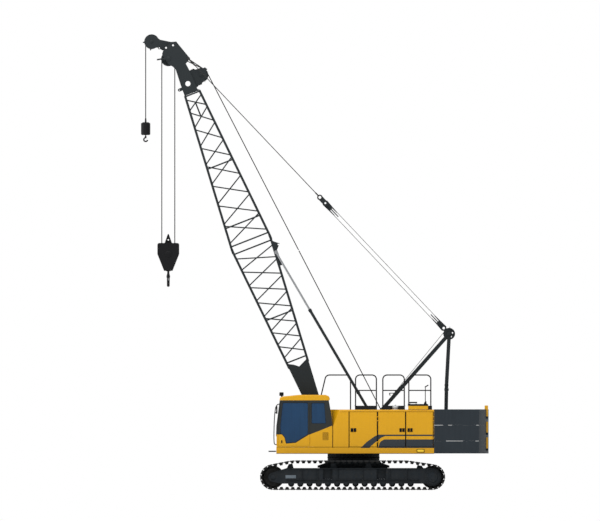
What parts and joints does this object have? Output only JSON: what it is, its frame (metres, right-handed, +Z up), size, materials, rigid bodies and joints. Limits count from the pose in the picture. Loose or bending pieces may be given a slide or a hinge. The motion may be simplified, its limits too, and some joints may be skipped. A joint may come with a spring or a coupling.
{
  "type": "crawler crane",
  "caption": "Crawler crane with a lattice boom, gantry, hook block and auxiliary hook, a cab beside the boom foot and a stacked counterweight behind.",
  "frame": {"origin": "on the ground under the middle of the machine's box", "axes": "+X forward towards the hooks, +Y to the driver's left, +Z up"},
  "size_m": [11.1226, 4.3, 14.5824],
  "materials": {
    "body_yellow": "satin",
    "slate_paint": "satin",
    "boom_paint": "satin",
    "track_steel": "worn",
    "frame_paint": "satin",
    "rope_steel": "matt",
    "bright_steel": "satin",
    "cast_slab": "satin",
    "tinted_glass": "polished",
    "seat_fabric": "matt",
    "rail_black": "satin",
    "engine_paint": "satin"
  },
  "bodies": {
    "undercarriage": {"carbody": "frame_paint", "slew_ring": "bright_steel", "track_frame_left": "frame_paint", "track_frame_right": "frame_paint", "track_left": "track_steel", "track_right": "track_steel", "track_wheels": "track_steel"},
    "upperworks": {"upper_frame": "frame_paint", "house_left": "body_yellow", "house_right": "body_yellow", "engine_block": "engine_paint", "roof_hood": "body_yellow", "air_cleaner": "frame_paint", "roof_walkways": "rail_black", "handrails": "rail_black", "counterweight": "cast_slab", "cab_shell": "body_yellow", "cab_roof": "body_yellow", "cab_glass": "tinted_glass", "cab_seat": "seat_fabric", "gantry": "boom_paint"},
    "boom": {"boom_butt": "boom_paint", "boom_top": "boom_paint", "boom_head": "boom_paint", "tip_jib": "boom_paint"},
    "main_falls": {"main_falls": "rope_steel"},
    "hook_block": {"hook_block": "slate_paint"},
    "main_hook": {"main_hook": "slate_paint"},
    "aux_fall": {"aux_fall": "rope_steel"},
    "aux_weight": {"aux_weight": "slate_paint"},
    "aux_hook": {"aux_hook": "slate_paint"},
    "backstop_tubes": {"backstop_tubes": "boom_paint"},
    "backstop_rods": {"backstop_rods": "bright_steel"},
    "lower_spreader": {"lower_spreader": "boom_paint", "luffing_ropes": "rope_steel"},
    "upper_spreader": {"upper_spreader": "boom_paint", "pendants": "rope_steel"},
    "hoist_line_lower": {"hoist_ropes_lower": "rope_steel"},
    "hoist_line_upper": {"hoist_ropes_upper": "rope_steel"},
    "main_hoist_drum": {"main_hoist_drum": "frame_paint"},
    "aux_hoist_drum": {"aux_hoist_drum": "frame_paint"},
    "luffing_drum": {"luffing_drum": "frame_paint"},
    "gantry_sheaves": {"gantry_sheaves": "track_steel"},
    "head_sheaves": {"head_sheaves": "track_steel"},
    "guide_sheaves": {"guide_sheaves": "track_steel"},
    "jib_sheave": {"jib_sheave": "track_steel"},
    "cab_door": {"cab_door": "body_yellow", "cab_door_glass": "tinted_glass"},
    "house_door_left_front": {"house_door_left_front": "body_yellow"},
    "house_door_left_middle": {"house_door_left_middle": "body_yellow"},
    "house_door_left_rear": {"house_door_left_rear": "body_yellow"},
    "house_door_right_front": {"house_door_right_front": "body_yellow"},
    "house_door_right_rear": {"house_door_right_rear": "body_yellow"}
  },
  "joints": [
    {"name": "slew", "type": "hinge", "parent": "undercarriage", "child": "upperworks", "pos_m": [-1.23834, 0, 1.04], "axis": [0, 0, 1], "continuous": true},
    {"name": "boom_luff", "type": "hinge", "parent": "upperworks", "child": "boom", "pos_m": [-0.32634, 0, 1.856], "axis": [0, -1, 0], "range_deg": [-38.6, 11.4]},
    {"name": "main_fall_swing", "type": "hinge", "parent": "boom", "child": "main_falls", "pos_m": [4.68861, 0, 13.79208], "axis": [0, -1, 0], "range_deg": [-11.5, 38.7]},
    {"name": "main_hoist", "type": "slide", "parent": "main_falls", "child": "hook_block", "axis": [0, 0, -1], "range_m": [-2.9, 6.3], "deforming": ["main_falls"]},
    {"name": "main_hook_swivel", "type": "hinge", "parent": "hook_block", "child": "main_hook", "pos_m": [4.68861, 0, 6.699], "axis": [0, 0, 1], "continuous": true},
    {"name": "aux_fall_swing", "type": "hinge", "parent": "boom", "child": "aux_fall", "pos_m": [5.22234, 0, 14.3455], "axis": [0, -1, 0], "range_deg": [-11.5, 38.7]},
    {"name": "aux_hoist", "type": "slide", "parent": "aux_fall", "child": "aux_weight", "axis": [0, 0, -1], "range_m": [-1.2, 10.9], "deforming": ["aux_fall"]},
    {"name": "aux_hook_swivel", "type": "hinge", "parent": "aux_weight", "child": "aux_hook", "pos_m": [5.41234, 0, 11.23], "axis": [0, 0, 1], "continuous": true},
    {"name": "backstop_tilt", "type": "hinge", "parent": "upperworks", "child": "backstop_tubes", "pos_m": [-1.67034, 0, 2.64], "axis": [0, -1, 0], "range_deg": [-36.58, 10.87]},
    {"name": "backstop_slide", "type": "slide", "parent": "backstop_tubes", "child": "backstop_rods", "axis": [0.5055, 0, 0.8628], "range_m": [-0.2905, 0.9789]},
    {"name": "tackle_tilt", "type": "hinge", "parent": "upperworks", "child": "lower_spreader", "pos_m": [-4.12434, 0, 5.181], "axis": [0, -1, 0], "range_deg": [-35.03, 10.42]},
    {"name": "tackle_slide", "type": "slide", "parent": "lower_spreader", "child": "upper_spreader", "axis": [0.6877, 0, 0.726], "range_m": [-0.9471, 3.2021], "deforming": ["luffing_ropes"]},
    {"name": "hoist_line_tilt", "type": "hinge", "parent": "upperworks", "child": "hoist_line_lower", "pos_m": [-2.20234, 0, 1.831], "axis": [0, -1, 0], "range_deg": [-35.23, 10.47]},
    {"name": "hoist_line_pay", "type": "slide", "parent": "hoist_line_lower", "child": "hoist_line_upper", "axis": [0.4505, 0, 0.8928], "range_m": [-0.2806, 0.9452], "deforming": ["hoist_ropes_lower", "hoist_ropes_upper"]},
    {"name": "main_drum_spin", "type": "hinge", "parent": "upperworks", "child": "main_hoist_drum", "pos_m": [-2.20234, 0, 1.831], "axis": [0, 1, 0], "continuous": true},
    {"name": "aux_drum_spin", "type": "hinge", "parent": "upperworks", "child": "aux_hoist_drum", "pos_m": [-2.20234, 0, 1.831], "axis": [0, 1, 0], "continuous": true},
    {"name": "luffing_drum_spin", "type": "hinge", "parent": "upperworks", "child": "luffing_drum", "pos_m": [-1.46834, 0, 2.105], "axis": [0, 1, 0], "continuous": true},
    {"name": "gantry_sheaves_spin", "type": "hinge", "parent": "upperworks", "child": "gantry_sheaves", "pos_m": [-4.30034, 0, 4.998], "axis": [0, 1, 0], "continuous": true},
    {"name": "head_sheaves_spin", "type": "hinge", "parent": "boom", "child": "head_sheaves", "pos_m": [4.68861, 0, 13.79208], "axis": [0, 1, 0], "continuous": true},
    {"name": "guide_sheaves_spin", "type": "hinge", "parent": "boom", "child": "guide_sheaves", "pos_m": [3.63503, 0, 13.277], "axis": [0, 1, 0], "continuous": true},
    {"name": "jib_sheave_spin", "type": "hinge", "parent": "boom", "child": "jib_sheave", "pos_m": [5.22234, 0, 14.3455], "axis": [0, 1, 0], "continuous": true},
    {"name": "cab_door_hinge", "type": "hinge", "parent": "upperworks", "child": "cab_door", "pos_m": [0.17166, 1.608, 2], "axis": [0, 0, 1], "range_deg": [0, 100]},
    {"name": "house_door_left_front_hinge", "type": "hinge", "parent": "upperworks", "child": "house_door_left_front", "pos_m": [-1.97434, 1.608, 1.9], "axis": [0, 0, 1], "range_deg": [0, 85]},
    {"name": "house_door_left_middle_hinge", "type": "hinge", "parent": "upperworks", "child": "house_door_left_middle", "pos_m": [-2.03834, 1.608, 1.9], "axis": [0, 0, -1], "range_deg": [0, 85]},
    {"name": "house_door_left_rear_hinge", "type": "hinge", "parent": "upperworks", "child": "house_door_left_rear", "pos_m": [-3.76434, 1.608, 1.9], "axis": [0, 0, 1], "range_deg": [0, 85]},
    {"name": "house_door_right_front_hinge", "type": "hinge", "parent": "upperworks", "child": "house_door_right_front", "pos_m": [-1.26834, -1.608, 1.9], "axis": [0, 0, -1], "range_deg": [0, 85]},
    {"name": "house_door_right_rear_hinge", "type": "hinge", "parent": "upperworks", "child": "house_door_right_rear", "pos_m": [-2.42834, -1.608, 1.9], "axis": [0, 0, 1], "range_deg": [0, 85]}
  ],
  "couplings": [
    {"joint": "main_fall_swing", "follows": "boom_luff", "ratio": -1},
    {"joint": "aux_fall_swing", "follows": "boom_luff", "ratio": -1},
    {"joint": "backstop_tilt", "follows": "boom_luff", "ratio": 0.945},
    {"joint": "backstop_slide", "follows": "boom_luff", "m_per_rad": -1.45},
    {"joint": "tackle_tilt", "follows": "boom_luff", "ratio": 0.905},
    {"joint": "tackle_slide", "follows": "boom_luff", "m_per_rad": -4.75},
    {"joint": "hoist_line_tilt", "follows": "boom_luff", "ratio": 0.91},
    {"joint": "hoist_line_pay", "follows": "boom_luff", "m_per_rad": -1.4}
  ]
}
